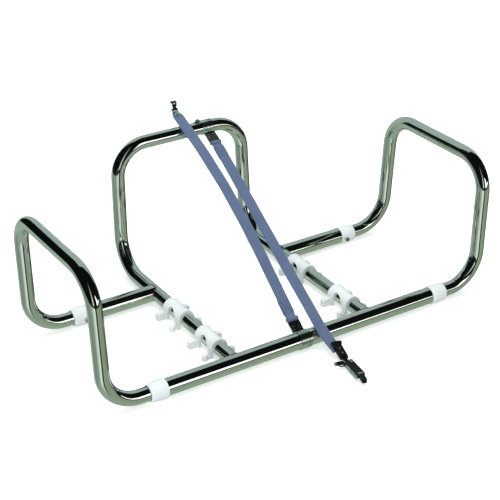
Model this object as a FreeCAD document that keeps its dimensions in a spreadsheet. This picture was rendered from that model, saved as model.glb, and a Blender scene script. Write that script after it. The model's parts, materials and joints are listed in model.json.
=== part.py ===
import FreeCAD, Part
import Sketcher
import math
import os

# Adjustable deck cradle for a life raft canister: a welded tube frame with two
# telescoping side hoops, nylon bushes and saddles, and two webbing lashings.
# X runs along the front tube, Y towards the back, Z up; z = 0 is the deck.

V = FreeCAD.Vector
doc = FreeCAD.newDocument("RaftCradle")

# ---------------------------------------------------------------- sizes, mm
SIZES = [
    # tubes
    ("cross_dia", 30.0),             # front tube and rear stubs, outside
    ("cross_wall", 1.5),
    ("rail_dia", 25.0),              # hoops and legs, outside
    ("rail_wall", 1.5),
    ("cross_half_length", 277.0),    # middle to either end of the cross tubes
    ("stub_line", 279.0),            # front tube axis to rear stub axis
    ("leg_spread", 139.4),           # middle to either leg
    ("back_line", 405.0),            # front tube axis to the foot of the back hoop
    ("back_height", 234.3),          # cross tube axis to the back hoop's top bar
    ("back_rake", 13.5),             # how far the back hoop leans back
    ("back_toe", 5.4),               # how far each upright leans in
    ("back_lower_bend", 66.0),
    ("back_upper_bend", 60.0),
    ("hoop_span", 386.5),            # middle to the foot of either side hoop
    ("hoop_height", 234.4),
    ("hoop_lean", 7.4),              # how far each side hoop leans out
    ("hoop_rake", 6.2),              # how far its uprights lean together
    ("hoop_lower_bend", 65.0),
    ("hoop_upper_bend", 60.0),
    ("hoop_end", 165.0),             # middle to the hoop's inner ends
    # nylon bushes and their screws
    ("bush_dia", 34.0),
    ("bush_nose_dia", 28.6),
    ("bush_length", 32.0),
    ("bush_spigot", 30.0),
    ("slide_gap", 0.05),             # running clearance of hoop in bush, on radius
    ("screw_dia", 5.0),
    ("screw_head_dia", 8.5),
    ("screw_head_height", 5.0),
    ("screw_place", 9.0),            # tube end to the lock screw
    ("screw_gap", 0.4),              # backed-off screw tip to the hoop
    # nylon saddles
    ("saddle_length", 55.0),
    ("saddle_wall", 4.8),
    ("left_front_saddle", 55.0),     # front edge of each saddle
    ("left_rear_saddle", 166.0),
    ("right_front_saddle", 47.0),
    ("right_rear_saddle", 184.0),
    ("foot_spread", 27.5),           # leg axis to the foot holes
    ("foot_hole", 4.5),
    ("foot_hole_depth", 7.5),
    ("boss_dia", 10.5),              # the two round front feet
    ("boss_height", 11.0),
    ("ear_height", 13.0),            # the two square rear feet, at their ends
    # strap clamps
    ("band_wall", 1.5),
    ("band_width", 22.0),
    ("tail_reach", 41.0),            # tube axis to the strap pin
    ("pin_dia", 4.0),
    ("arm_width", 1.5),
    ("ear_length", 12.0),
    ("rivet_reach", 23.5),           # tube axis to the tail's rivets
    ("front_clamp_place", -4.0),
    ("rear_clamp_place", 57.0),
    # webbing
    ("web_width", 22.0),
    ("loop_width", 18.5),            # where it is folded in to pass round a pin
    ("web_thick", 2.0),
    ("gap", 0.3),                    # free clearance between moving pieces
    ("front_strap_shift", 14.0),     # sideways drift of the front strap at the bar
    ("rear_strap_shift", -26.5),     # sideways drift of the rear strap at the tube
    ("front_strap_tail", 42.0),      # strap left beyond the top bar
    ("front_strap_rise", 7.2),       # degrees above the straight line, at the start
    ("front_strap_fall", 9.3),       # degrees below it, at the end
    ("rear_strap_turn", 0.8),        # degrees bent over the front tube
    ("rear_strap_lie", 16.0),        # degrees down under the adjuster
    ("rear_strap_sweep", 100.0),     # radius it eases out with in between
    ("web_tail", 12.0),              # webbing beyond the cross bar
    # quick release
    ("release_skew", -9.0),
    ("bar_shift", 2.5),              # cross bar to the middle of the webbing
    ("pivot_height", 8.5),           # lever pivot above the deck
    ("bar_length", 19.0),
    ("bar_dia", 5.0),
    ("bar_rise", 5.6),               # cross bar above the webbing
    ("adjuster_width", 14.0),
    ("adjuster_length", 35.0),
    ("lever_length", 50.0),
    ("lever_width", 16.0),
    ("lever_height", 8.0),
    ("lever_wall", 1.5),
    ("grip_length", 15.0),
    ("grip_width", 8.5),
    ("grip_shift", 2.0),             # its middle to the lever's
    ("release_pin_dia", 4.0),
    ("ring_reach", 14.5),
    ("ring_width", 10.4),
    ("ring_rise", 12.0),             # degrees above level
    ("ring_wire", 2.2),
    # strap hook
    ("plate_width", 12.0),
    ("plate_length", 17.0),
    ("plate_thick", 1.5),
    ("hook_pin_dia", 2.5),
    ("hook_width", 9.0),
]
sheet = doc.addObject("Spreadsheet::Sheet", "Sizes")
for row, (name, value) in enumerate(SIZES, start=1):
    sheet.set("A%d" % row, name)
    sheet.set("B%d" % row, str(value))
    sheet.setAlias("B%d" % row, name)
doc.recompute()


def size(name):
    return float(sheet.get(name))


pieces = []


# ---------------------------------------------------------------- helpers
def new_body(label):
    body = doc.addObject("PartDesign::Body", label)
    body.Label = label
    pieces.append(body)
    return body


def sketch_on(body, role, offset=None):
    """A sketch on one of the body's own origin planes."""
    sketch = body.newObject("Sketcher::SketchObject", "Sketch")
    plane = [o for o in body.Origin.OriginFeatures if o.Role == role][0]
    sketch.AttachmentSupport = [(plane, "")]
    sketch.MapMode = "FlatFace"
    if offset is not None:
        sketch.AttachmentOffset = offset
    return sketch


def lift(distance):
    return FreeCAD.Placement(V(0, 0, distance), FreeCAD.Rotation())


def tilt(angle, distance=0.0):
    """Sketch plane turned about X so that its normal points at the angle in Y-Z."""
    turn = FreeCAD.Rotation(V(1, 0, 0), angle - 90.0)
    return FreeCAD.Placement(turn.multVec(V(0, 0, distance)), turn)


def add_circle(sketch, x, y, diameter):
    """A circle with its diameter bound to the sheet when an expression is given."""
    start = diameter if isinstance(diameter, float) else 1.0
    circle = Part.Circle(V(x, y, 0), V(0, 0, 1), start / 2.0)
    index = sketch.addGeometry(circle, False)
    sketch.addConstraint(Sketcher.Constraint("Diameter", index, start))
    if not isinstance(diameter, float):
        last = sketch.ConstraintCount - 1
        sketch.setExpression("Constraints[%d]" % last, diameter)


def add_outline(sketch, items):
    """Closed outline: (x, y) corners, or ("arc", x, y) as the middle of an arc."""
    count = len(items)
    for place, item in enumerate(items):
        after = items[(place + 1) % count]
        if item[0] == "arc":
            continue
        start = V(item[0], item[1], 0)
        if after[0] == "arc":
            far = items[(place + 2) % count]
            middle = V(after[1], after[2], 0)
            end = V(far[0], far[1], 0)
            sketch.addGeometry(Part.Arc(start, middle, end), False)
        else:
            end = V(after[0], after[1], 0)
            sketch.addGeometry(Part.LineSegment(start, end), False)


def rectangle(x0, y0, x1, y1):
    return [(x0, y0), (x1, y0), (x1, y1), (x0, y1)]


def pad(body, sketch, length, symmetric=False, reverse=False):
    feature = body.newObject("PartDesign::Pad", "Pad")
    feature.Profile = sketch
    if isinstance(length, float):
        feature.Length = length
    else:
        feature.setExpression("Length", length)
    feature.SideType = "Symmetric" if symmetric else "One side"
    feature.Reversed = reverse
    return feature


def cut_through(body, sketch, both=True, reverse=False, length=400.0):
    feature = body.newObject("PartDesign::Pocket", "Pocket")
    feature.Profile = sketch
    feature.Length = length
    feature.SideType = "Symmetric" if both else "One side"
    feature.Reversed = reverse
    return feature


def revolve(body, sketch, axis="H_Axis"):
    feature = body.newObject("PartDesign::Revolution", "Revolution")
    feature.Profile = sketch
    feature.ReferenceAxis = (sketch, [axis])
    feature.Angle = 360.0
    return feature


def place(body, position, rotation=None):
    body.Placement = FreeCAD.Placement(position, rotation or FreeCAD.Rotation())


def about_x(angle):
    return FreeCAD.Rotation(V(1, 0, 0), angle)


def about_z(angle):
    return FreeCAD.Rotation(V(0, 0, 1), angle)


# ---------------------------------------------------------------- shared places
axis_height = size("bush_dia") / 2.0
cross_radius = size("cross_dia") / 2.0
rail_radius = size("rail_dia") / 2.0
bar_y = size("back_line") + size("back_rake")
bar_z = axis_height + size("back_height")
chord = math.degrees(math.atan2(size("back_height"), bar_y))
front_slope = chord + size("front_strap_rise")
rear_slope = 180.0 + chord - 0.8


# ---------------------------------------------------------------- tubes
def tube_wire(corners, bends):
    """Straight runs joined by tangent arcs, one bend radius per inner corner."""
    edges = []
    start = corners[0]
    for place_number, bend in enumerate(bends, start=1):
        before = corners[place_number - 1]
        corner = corners[place_number]
        after = corners[place_number + 1]
        back = (before - corner).normalize()
        ahead = (after - corner).normalize()
        half = back.getAngle(ahead) / 2.0
        reach = bend / math.tan(half)
        first = corner + back * reach
        second = corner + ahead * reach
        inward = (back + ahead).normalize()
        centre = corner + inward * (bend / math.sin(half))
        middle = centre - inward * bend
        edges.append(Part.LineSegment(start, first).toShape())
        edges.append(Part.Arc(first, middle, second).toShape())
        start = second
    edges.append(Part.LineSegment(start, corners[-1]).toShape())
    return Part.Wire(edges)


def swept(wire, radius, start, direction):
    ring = Part.Wire([Part.Circle(start, direction, radius).toShape()])
    return wire.makePipeShell([ring], True, False)


def bent_tube(corners, bends, diameter, wall):
    wire = tube_wire(corners, bends)
    direction = corners[1] - corners[0]
    outside = swept(wire, diameter / 2.0, corners[0], direction)
    bore = swept(wire, diameter / 2.0 - wall, corners[0], direction)
    return outside.cut(bore)


def add_shape(label, shape):
    feature = doc.addObject("Part::Feature", label)
    feature.Label = label
    feature.Shape = shape
    pieces.append(feature)
    return feature


def front_tube():
    body = new_body("front_tube")
    sketch = sketch_on(body, "YZ_Plane")
    add_circle(sketch, 0, 0, "Sizes.cross_dia")
    add_circle(sketch, 0, 0, "Sizes.cross_dia - 2 * Sizes.cross_wall")
    pad(body, sketch, "2 * Sizes.cross_half_length", symmetric=True)
    place(body, V(0, 0, axis_height))


def rear_stub(label, side):
    """Tube from the bush to the leg, its inner end cut to sit round the leg."""
    body = new_body(label)
    sketch = sketch_on(body, "YZ_Plane")
    add_circle(sketch, 0, 0, "Sizes.cross_dia")
    add_circle(sketch, 0, 0, "Sizes.cross_dia - 2 * Sizes.cross_wall")
    pad(body, sketch, "Sizes.cross_half_length - Sizes.leg_spread - 2")
    mouth = sketch_on(body, "XZ_Plane")
    add_circle(mouth, size("cross_half_length") - size("leg_spread"), 0, "Sizes.rail_dia")
    cut_through(body, mouth)
    turn = about_z(180.0) if side > 0 else about_z(0.0)
    place(body, V(side * size("cross_half_length"), size("stub_line"), axis_height), turn)


def back_hoop():
    """Both legs, the uprights and the top bar: one bent tube welded to the front tube."""
    spread = size("leg_spread")
    top = spread - size("back_toe")
    back = size("back_line")
    corners = [
        V(-spread, 0, axis_height),
        V(-spread, back, axis_height),
        V(-top, bar_y, bar_z),
        V(top, bar_y, bar_z),
        V(spread, back, axis_height),
        V(spread, 0, axis_height),
    ]
    low = size("back_lower_bend")
    high = size("back_upper_bend")
    shape = bent_tube(corners, [low, high, high, low], size("rail_dia"), size("rail_wall"))
    reach = 2.0 * size("cross_half_length")
    start = V(-reach / 2.0, 0, axis_height)
    mouth = Part.makeCylinder(cross_radius, reach, start, V(1, 0, 0))
    add_shape("back_hoop", shape.cut(mouth))


def side_hoop(label, side):
    """Telescoping hoop: both lower ends slide in the bushes, the top rail runs along Y."""
    foot = size("hoop_span")
    top = foot + size("hoop_lean")
    rake = size("hoop_rake")
    line = size("stub_line")
    high_z = axis_height + size("hoop_height")
    end = size("hoop_end")
    corners = [
        V(side * end, 0, axis_height),
        V(side * foot, 0, axis_height),
        V(side * top, rake, high_z),
        V(side * top, line - rake, high_z),
        V(side * foot, line, axis_height),
        V(side * end, line, axis_height),
    ]
    low = size("hoop_lower_bend")
    high = size("hoop_upper_bend")
    shape = bent_tube(corners, [low, high, high, low], size("rail_dia"), size("rail_wall"))
    add_shape(label, shape)


# ---------------------------------------------------------------- bushes and lock screws
def bush(label, side, line, angle, spot):
    """Nylon bush: a spigot inside the tube end and a domed collar outside it."""
    body = new_body(label)
    bore = rail_radius + size("slide_gap")
    spigot = cross_radius - size("cross_wall")
    collar = size("bush_dia") / 2.0
    nose = size("bush_nose_dia") / 2.0
    length = size("bush_length")
    profile = sketch_on(body, "XZ_Plane")
    add_outline(profile, [
        (-size("bush_spigot"), bore),
        (length - 2.0, bore),
        (length, bore + 0.9),
        (length, nose),
        ("arc", 0.72 * length, nose + 0.72 * (collar - nose)),
        (0.42 * length, collar),
        (0.16 * length, collar),
        (0.03 * length, collar - 0.6),
        (0.0, collar - 1.2),
        (0.0, spigot),
        (-size("bush_spigot") + 1.0, spigot),
        (-size("bush_spigot"), spigot - 0.4),
    ])
    revolve(body, profile)
    hole = sketch_on(body, "XY_Plane", tilt(angle))
    add_circle(hole, size("screw_place"), 0, "Sizes.screw_dia")
    cut_through(body, hole, both=False, reverse=True, length=60.0)
    if spot:
        face = sketch_on(body, "XY_Plane", tilt(angle, collar - 0.6))
        add_circle(face, size("screw_place"), 0, "Sizes.screw_head_dia + 0.4")
        cut_through(body, face, both=False, reverse=True, length=20.0)
    turn = about_z(180.0) if side < 0 else about_z(0.0)
    place(body, V(side * size("cross_half_length"), line, axis_height), turn)


def lock_screws(label, line, angles, head):
    """One screw per side, standing radially in the bush collar, backed off the hoop."""
    tip = rail_radius + size("screw_gap")
    seat = size("bush_dia") / 2.0 - 0.6
    shank = size("screw_dia") / 2.0
    shapes = []
    for side, angle in angles:
        outline = Part.makeCylinder(shank, seat - tip, V(0, 0, tip))
        top = seat
        if head:
            wide = size("screw_head_dia") / 2.0
            cap = Part.makeCylinder(wide, size("screw_head_height"), V(0, 0, seat))
            rim = [
                edge for edge in cap.Edges
                if edge.BoundBox.ZMin > seat + 1.0 and edge.BoundBox.XLength > wide
            ]
            outline = outline.fuse(cap.makeChamfer(0.7, rim))
            top = seat + size("screw_head_height")
        across = 0.55 * size("screw_dia")
        socket = Part.makePolygon([
            V(across * math.cos(math.radians(60 * k)), across * math.sin(math.radians(60 * k)), top)
            for k in range(7)
        ])
        depth = 2.4
        hexagon = Part.Face(socket).extrude(V(0, 0, -depth))
        shape = outline.cut(hexagon).removeSplitter()
        shape.rotate(V(0, 0, 0), V(1, 0, 0), angle - 90.0)
        x = side * (size("cross_half_length") + size("screw_place"))
        shape.translate(V(x, line, axis_height))
        shapes.append(shape)
    add_shape(label, Part.makeCompound(shapes))


# ---------------------------------------------------------------- saddles
def saddle(label, side, front_edge):
    """Nylon saddle over a leg: two collars, a window each side and four feet."""
    body = new_body(label)
    length = size("saddle_length")
    inner = rail_radius
    wall = size("saddle_wall")
    outer = inner + wall
    floor = -axis_height
    profile = sketch_on(body, "YZ_Plane")
    add_outline(profile, [
        (0.0, inner),
        (length, inner),
        (length, outer - 0.6),
        ("arc", length - 2.0, outer + 0.2),
        (length - 4.0, outer - 0.4),
        (length - 5.2, outer - 1.6),
        (length - 6.4, outer - 0.3),
        (length - 12.0, outer - 0.7),
        ("arc", 0.60 * length, inner + 0.62 * wall),
        (0.45 * length, inner + 0.56 * wall),
        ("arc", 0.22 * length, inner + 0.66 * wall),
        (3.0, outer - 0.8),
        ("arc", 1.4, outer - 0.2),
        (0.0, outer - 0.5),
    ])
    revolve(body, profile)
    below = sketch_on(body, "XY_Plane", lift(-0.30 * inner))
    add_outline(below, rectangle(-60, -20, 60, length + 20))
    cut_through(body, below, both=False)
    # the window rises steeply in front of the rear collar and runs down to a narrow leg
    front = 0.22 * length
    rear = 0.71 * length
    window = sketch_on(body, "YZ_Plane")
    add_outline(window, [
        (front, -40.0),
        (rear, -40.0),
        (rear, 0.50 * inner),
        ("arc", rear - 2.6, 0.84 * inner),
        (rear - 8.0, 0.88 * inner),
        ("arc", 0.36 * length, 0.50 * inner),
        (front, -0.30 * inner),
    ])
    cut_through(body, window)
    # legs down to the deck
    for hand in (-1, 1):
        legs = sketch_on(body, "YZ_Plane", lift(hand * inner))
        add_outline(legs, [
            (0.4, 0.0),
            (0.4, floor),
            (front + 0.5, floor),
            (front - 3.0, floor + 5.5),
            (front - 3.6, -0.55 * inner),
            (front - 1.0, -0.25 * inner),
            (front - 1.0, 0.0),
        ])
        add_outline(legs, rectangle(rear + 1.5, floor, length - 1.0, 0.0))
        pad(body, legs, wall - 0.6, reverse=hand < 0)
    # feet: a round boss on a plate in front, a square ear behind
    spread = size("foot_spread")
    boss_y = 3.0
    ear_y = length - 6.0
    plates = sketch_on(body, "XY_Plane", lift(floor))
    for hand in (-1, 1):
        add_outline(plates, rectangle(hand * (inner + 0.6), 0.6, hand * spread, 8.0))
    pad(body, plates, 4.5)
    for hand in (-1, 1):
        ear = sketch_on(body, "XZ_Plane", lift(-ear_y - 5.0))
        near = hand * (inner + 0.6)
        far = hand * (spread + 5.5)
        top = floor + size("ear_height")
        add_outline(ear, [
            (near, floor),
            (far, floor),
            (far, top - 1.5),
            ("arc", far - hand * 0.5, top - 0.4),
            (far - hand * 1.6, top),
            (near, top + 3.5),
        ])
        pad(body, ear, 10.0)
    bosses = sketch_on(body, "XY_Plane", lift(floor))
    for hand in (-1, 1):
        add_circle(bosses, hand * spread, boss_y, "Sizes.boss_dia")
    boss_pad = pad(body, bosses, "Sizes.boss_height")
    doc.recompute()
    crown = floor + size("boss_height")
    rims = [
        "Edge%d" % (number + 1)
        for number, edge in enumerate(boss_pad.Shape.Edges)
        if abs(edge.BoundBox.ZMin - crown) < 0.01
        and edge.BoundBox.ZLength < 0.01
        and abs(abs(edge.BoundBox.Center.x) - spread) < 0.5
    ]
    dome = body.newObject("PartDesign::Fillet", "Fillet")
    dome.Base = (boss_pad, rims)
    dome.Radius = 3.6
    holes = sketch_on(body, "XY_Plane", lift(floor))
    for hand in (-1, 1):
        add_circle(holes, hand * spread, boss_y, "Sizes.foot_hole")
        add_circle(holes, hand * spread, ear_y, "Sizes.foot_hole")
    cut_through(body, holes, both=False, reverse=True, length=size("foot_hole_depth"))
    place(body, V(side * size("leg_spread"), front_edge, axis_height))


# ---------------------------------------------------------------- strap clamps
def clamp(label, position, tube_radius, slope, ear_side, ear_angle):
    """Band round a tube, its two ends riveted into a tail with a cross pin at the end."""
    body = new_body(label)
    wall = size("band_wall")
    width = size("band_width")
    reach = size("tail_reach")
    outer = tube_radius + wall
    ring = sketch_on(body, "YZ_Plane")
    add_circle(ring, 0, 0, 2.0 * outer)
    add_circle(ring, 0, 0, 2.0 * tube_radius)
    pad(body, ring, "Sizes.band_width", symmetric=True)
    # tail: both ends of the band laid together
    web_room = size("loop_width") / 2.0 + size("gap") + 0.2
    wide = web_room + size("arm_width")
    shoulder = reach - 13.0
    stop = reach - size("pin_dia") / 2.0 - size("gap") - size("web_thick") - size("gap")
    tail = sketch_on(body, "XY_Plane", lift(-wall))
    add_outline(tail, [
        (-width / 2.0, tube_radius + 0.5 * wall),
        (width / 2.0, tube_radius + 0.5 * wall),
        (width / 2.0, shoulder - 3.0),
        (wide, shoulder),
        (wide, reach + 3.0),
        (web_room, reach + 3.0),
        (web_room, stop),
        (-web_room, stop),
        (-web_room, reach + 3.0),
        (-wide, reach + 3.0),
        (-wide, shoulder),
        (-width / 2.0, shoulder - 3.0),
    ])
    pad(body, tail, "2 * Sizes.band_wall")
    # eyes round the cross pin
    eyes = sketch_on(body, "YZ_Plane")
    add_circle(eyes, reach, 0, size("pin_dia") + 3.0)
    pad(body, eyes, 2.0 * wide, symmetric=True)
    room = sketch_on(body, "XY_Plane")
    add_outline(room, rectangle(-web_room, stop, web_room, reach + 20.0))
    cut_through(body, room)
    pin_hole = sketch_on(body, "YZ_Plane")
    add_circle(pin_hole, reach, 0, "Sizes.pin_dia")
    cut_through(body, pin_hole)
    # ear with the locking screw
    ear = sketch_on(body, "YZ_Plane")
    half = math.radians(24.0)
    middle = math.radians(ear_angle)

    def polar(radius, angle):
        return (radius * math.cos(angle), radius * math.sin(angle))

    add_outline(ear, [
        polar(tube_radius, middle - half),
        ("arc",) + polar(tube_radius, middle),
        polar(tube_radius, middle + half),
        polar(outer, middle + half),
        ("arc",) + polar(outer, middle),
        polar(outer, middle - half),
    ])
    ear_pad = pad(body, ear, width / 2.0 + size("ear_length"))
    ear_pad.Reversed = ear_side < 0
    hole = sketch_on(body, "XY_Plane", tilt(ear_angle))
    add_circle(hole, ear_side * (width / 2.0 + 0.5 * size("ear_length")), 0, 4.0)
    cut_through(body, hole, both=False, reverse=True, length=60.0)
    rivet_holes = sketch_on(body, "XY_Plane")
    for hand in (-1, 1):
        add_circle(rivet_holes, hand * 5.5, size("rivet_reach"), 4.0)
    cut_through(body, rivet_holes, length=12.0)
    place(body, position, about_x(slope))


def clamp_screws(label, items):
    """Dome-headed screws through the ears, their tips on the tube."""
    shapes = []
    wall = size("band_wall")
    for position, tube_radius, slope, ear_side, ear_angle in items:
        seat = tube_radius + wall
        shank = Part.makeCylinder(2.0, wall, V(0, 0, tube_radius))
        head = Part.makeCylinder(4.5, 3.6, V(0, 0, seat))
        rim = [
            edge for edge in head.Edges
            if edge.BoundBox.ZMin > seat + 1.0 and edge.BoundBox.XLength > 4.0
        ]
        head = head.makeFillet(1.6, rim)
        slot = Part.makeBox(12.0, 1.2, 1.2, V(-6.0, -0.6, seat + 2.4))
        screw = shank.fuse(head).cut(slot).removeSplitter()
        shift = ear_side * (size("band_width") / 2.0 + 0.5 * size("ear_length"))
        screw.translate(V(shift, 0, 0))
        screw.rotate(V(0, 0, 0), V(1, 0, 0), ear_angle - 90.0)
        screw.rotate(V(0, 0, 0), V(1, 0, 0), slope)
        screw.translate(position)
        shapes.append(screw)
    add_shape(label, Part.makeCompound(shapes))


def clamp_rivets(label, items):
    """Two dome rivets through each tail."""
    shapes = []
    wall = size("band_wall")
    for position, slope in items:
        for hand in (-1, 1):
            rivet = Part.makeCylinder(2.0, 2.0 * wall, V(0, 0, -wall))
            for end in (-1, 1):
                low = wall if end > 0 else -wall - 1.4
                cap = Part.makeCylinder(3.4, 1.4, V(0, 0, low))
                far = wall + 1.4 if end > 0 else -wall - 1.4
                rim = [e for e in cap.Edges if abs(e.BoundBox.ZMin - far) < 0.01
                       and abs(e.BoundBox.ZMax - far) < 0.01]
                rivet = rivet.fuse(cap.makeFillet(1.1, rim))
            rivet.translate(V(hand * 5.5, size("rivet_reach"), 0))
            rivet.rotate(V(0, 0, 0), V(1, 0, 0), slope)
            rivet.translate(position)
            shapes.append(rivet.removeSplitter())
    add_shape(label, Part.makeCompound(shapes))


def strap_pin(label, position, slope):
    """Cross pin at the end of a clamp's tail, held in its two eyes."""
    body = new_body(label)
    sketch = sketch_on(body, "YZ_Plane")
    add_circle(sketch, size("tail_reach"), 0, "Sizes.pin_dia")
    length = "Sizes.loop_width + 2 * (Sizes.gap + 0.2 + Sizes.arm_width) + 0.4"
    pad(body, sketch, length, symmetric=True)
    place(body, position, about_x(slope))


front_centre = V(size("front_clamp_place"), 0, axis_height)
rear_centre = V(size("rear_clamp_place"), bar_y, bar_z)
front_ear = 142.0 - front_slope
rear_ear = 85.0 - rear_slope
reach = size("tail_reach")


def pin_place(centre, slope):
    """The strap pin's middle at the end of a clamp's tail, on the line X = 0."""
    turn = math.radians(slope)
    return V(0, centre.y + reach * math.cos(turn), centre.z + reach * math.sin(turn))


front_pin = pin_place(front_centre, front_slope)
rear_pin = pin_place(rear_centre, rear_slope)


# ---------------------------------------------------------------- webbing
def strip_outline(start, angle, steps, thick):
    """Closed side outline of a strip along straight runs and tangent arcs.

    Steps are ("run", length) or ("turn", radius, degrees); a positive turn goes
    anticlockwise. Returns the outline and the end point and direction.
    """
    upper = []
    lower = []
    heading = math.radians(angle)
    y, z = start
    half = thick / 2.0

    def side(y, z, heading, offset):
        return (y - offset * math.sin(heading), z + offset * math.cos(heading))

    upper.append(side(y, z, heading, half))
    lower.append(side(y, z, heading, -half))
    for step in steps:
        if step[0] == "run":
            y += step[1] * math.cos(heading)
            z += step[1] * math.sin(heading)
        else:
            turn = math.radians(step[2])
            hand = 1.0 if turn > 0 else -1.0
            centre = side(y, z, heading, hand * step[1])
            for share in (0.5, 1.0):
                now = heading + share * turn
                y = centre[0] + hand * step[1] * math.sin(now)
                z = centre[1] - hand * step[1] * math.cos(now)
                if share < 1.0:
                    upper.append(("arc",) + side(y, z, now, half))
                    lower.append(("arc",) + side(y, z, now, -half))
            heading += turn
        upper.append(side(y, z, heading, half))
        lower.append(side(y, z, heading, -half))
    return upper + lower[::-1], (y, z), math.degrees(heading)


def webbing(label, pin, angle, steps, plan, hand):
    """Webbing with a sewn loop round a pin; plan is its outline seen from above.

    The strap leaves the loop on the pin's left (hand 1) or right (hand -1) as it runs.
    """
    thick = size("web_thick")
    inner = size("pin_dia") / 2.0 + size("gap")
    body = new_body(label)
    lead = inner + 0.8
    heading = math.radians(angle)
    normal = (-hand * math.sin(heading), hand * math.cos(heading))
    start = (
        pin.y + lead * math.cos(heading) + 0.5 * thick * normal[0],
        pin.z + lead * math.sin(heading) + 0.5 * thick * normal[1],
    )
    outline, end, last = strip_outline(start, angle, steps, thick)
    side = sketch_on(body, "YZ_Plane")
    add_outline(side, outline)
    pad(body, side, 300.0, symmetric=True)
    # folded end sewn back under the strap
    under = (start[0] - thick * normal[0], start[1] - thick * normal[1])
    fold_outline, _, _ = strip_outline(under, angle, [("run", 36.0)], thick)
    fold = sketch_on(body, "YZ_Plane")
    add_outline(fold, fold_outline)
    pad(body, fold, 300.0, symmetric=True)
    loop = sketch_on(body, "YZ_Plane")
    add_circle(loop, pin.y, pin.z, 2.0 * (inner + thick))
    pad(body, loop, 300.0, symmetric=True)
    bore = sketch_on(body, "YZ_Plane")
    add_circle(bore, pin.y, pin.z, 2.0 * inner)
    cut_through(body, bore)
    trim = sketch_on(body, "XY_Plane")
    add_outline(trim, rectangle(-260, -260, 260, 700))
    add_outline(trim, plan)
    cut_through(body, trim, length=1400.0)
    return end, last


def front_strap():
    """From the front clamp's pin up over the top bar, its end standing free behind."""
    thick = size("web_thick")
    half = size("web_width") / 2.0
    loop = size("loop_width") / 2.0
    inner = size("pin_dia") / 2.0 + size("gap")
    end_angle = chord - size("front_strap_fall")
    up = math.radians(front_slope)
    over = math.radians(end_angle)
    # the line that passes over the top bar with its own clearance
    rise = rail_radius + size("gap") + thick / 2.0
    touch = (bar_y - rise * math.sin(over), bar_z + rise * math.cos(over))
    lead = inner + 0.8
    first = (
        front_pin.y + lead * math.cos(up) - 0.5 * thick * math.sin(up),
        front_pin.z + lead * math.sin(up) + 0.5 * thick * math.cos(up),
    )
    # corner where the two straight lines meet
    dy = touch[0] - first[0]
    dz = touch[1] - first[1]
    turn = up - over
    before = (dz * math.cos(over) - dy * math.sin(over)) / math.sin(turn)
    after = (dy * math.sin(up) - dz * math.cos(up)) / math.sin(turn)
    tangent = 0.92 * min(before, after)
    radius = tangent / math.tan(turn / 2.0)
    steps = [
        ("run", before - tangent),
        ("turn", radius, -math.degrees(turn)),
        ("run", after - tangent + size("front_strap_tail")),
    ]
    flat_end = touch[0] + size("front_strap_tail") * math.cos(over)
    middle = size("front_clamp_place")
    drift = size("front_strap_shift") / (touch[0] - front_pin.y - 12.0)
    straight = front_pin.y + 12.0

    def centre(y):
        return middle + drift * max(0.0, y - straight)

    taper = flat_end - 11.0
    plan = [
        (middle - loop, front_pin.y - 12.0),
        (middle + loop, front_pin.y - 12.0),
        (middle + loop, front_pin.y + 5.0),
        (middle + half, straight),
        (centre(taper) + half, taper),
        (centre(flat_end) + 0.55 * half, flat_end + 3.0),
        (centre(flat_end) - 0.55 * half, flat_end + 3.0),
        (centre(taper) - half, taper),
        (middle - half, straight),
        (middle - loop, front_pin.y + 5.0),
    ]
    end, last = webbing("front_strap", front_pin, front_slope, steps, plan, 1.0)
    return V(centre(end[0]), end[0], end[1]), last, math.degrees(math.atan(drift))


pivot_reach = size("adjuster_length") + 8.0
pivot_rise = 4.0


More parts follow.
